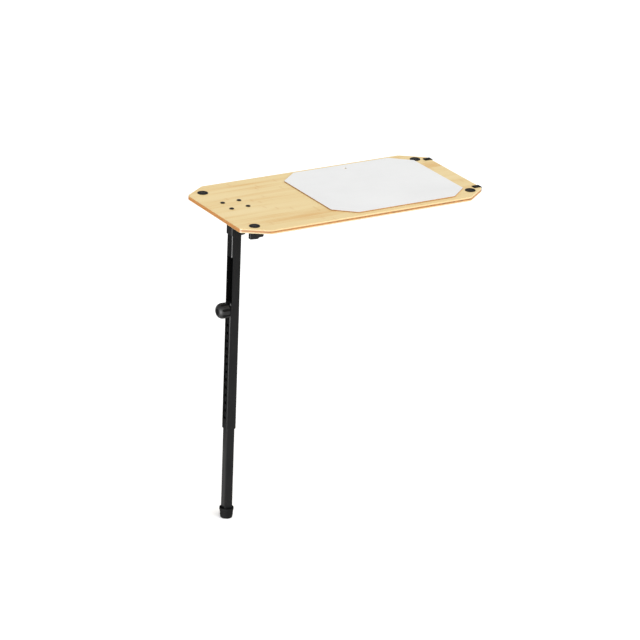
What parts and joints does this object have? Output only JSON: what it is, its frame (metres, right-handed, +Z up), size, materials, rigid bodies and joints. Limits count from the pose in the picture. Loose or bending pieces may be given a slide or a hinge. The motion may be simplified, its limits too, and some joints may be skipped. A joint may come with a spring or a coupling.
{
  "type": "overbed table",
  "caption": "Eight-sided bamboo tray with a loose white writing panel on one folding square telescopic leg with a sprung height pin and a rubber foot; clips on the free end.",
  "frame": {"origin": "centre of the rubber foot's sole, on the leg's axis, with the leg upright at the height shown", "axes": "+X along the tray to its free end, +Y to the tray's far long side, +Z up"},
  "size_m": [0.7638, 0.3815, 0.9213],
  "materials": {
    "bamboo": "satin lacquered bamboo ply",
    "white_board": "smooth white satin sheet",
    "black_paint": "satin black powder coat",
    "black_plastic": "fine matt moulded",
    "black_screw": "black oxide",
    "zinc_steel": "bright zinc plated",
    "nylon": "natural nylon",
    "rubber": "matt moulded rubber"
  },
  "bodies": {
    "tray_top": {"tray_board": "bamboo", "corner_pad_near_left": "black_plastic", "corner_pad_near_right": "black_plastic", "corner_pad_far_left": "black_plastic", "corner_pad_far_right": "black_plastic", "corner_screw_near_left": "black_screw", "corner_screw_near_right": "black_screw", "corner_screw_far_left": "black_screw", "corner_screw_far_right": "black_screw", "edge_clip_near": "black_paint", "edge_clip_far": "black_paint", "clip_screw_near": "black_screw", "clip_screw_far": "black_screw", "plate_bolt_near_left": "black_screw", "plate_bolt_near_right": "black_screw", "plate_bolt_far_left": "black_screw", "plate_bolt_far_right": "black_screw", "plate_nut_near_left": "zinc_steel", "plate_nut_near_right": "zinc_steel", "plate_nut_far_left": "zinc_steel", "plate_nut_far_right": "zinc_steel", "leg_bracket": "black_paint", "pivot_bolt": "zinc_steel", "pivot_washer_near": "zinc_steel", "pivot_washer_far": "zinc_steel"},
    "writing_panel": {"writing_panel": "white_board"},
    "upper_leg": {"leg_head": "black_plastic", "head_pin": "black_screw", "outer_tube": "black_paint", "lower_bush": "black_plastic", "plunger_housing": "zinc_steel", "friction_washer_near": "nylon", "friction_washer_far": "nylon"},
    "height_knob": {"height_knob": "black_plastic", "height_knob_cap": "black_plastic", "plunger_pin": "zinc_steel", "plunger_spring": "zinc_steel"},
    "lower_leg": {"inner_tube": "black_paint", "top_glide": "black_plastic", "foot_plug": "black_plastic", "rubber_foot": "rubber"},
    "fold_lever": {"fold_lever": "black_plastic", "fold_lever_cap": "black_plastic"}
  },
  "joints": [
    {"name": "leg_fold", "type": "hinge", "parent": "tray_top", "child": "upper_leg", "pos_m": [0.0405, 0, 0.847], "axis": [0, -1, 0], "range_deg": [0, 90]},
    {"name": "height_slide", "type": "slide", "parent": "upper_leg", "child": "lower_leg", "axis": [0, 0, -1], "range_m": [-0.228, 0]},
    {"name": "height_pin_pull", "type": "slide", "parent": "upper_leg", "child": "height_knob", "axis": [-1, 0, 0], "range_m": [0, 0.005], "stiffness_N_per_m": 1500, "springref_m": -0.004, "deforming": ["plunger_spring"]},
    {"name": "fold_lever_turn", "type": "hinge", "parent": "tray_top", "child": "fold_lever", "pos_m": [0.0405, -0.03, 0.847], "axis": [0, -1, 0], "range_deg": [0, 180]},
    {"name": "panel_lift", "type": "slide", "parent": "tray_top", "child": "writing_panel", "axis": [0, 0, 1], "range_m": [0, 0.04]}
  ]
}
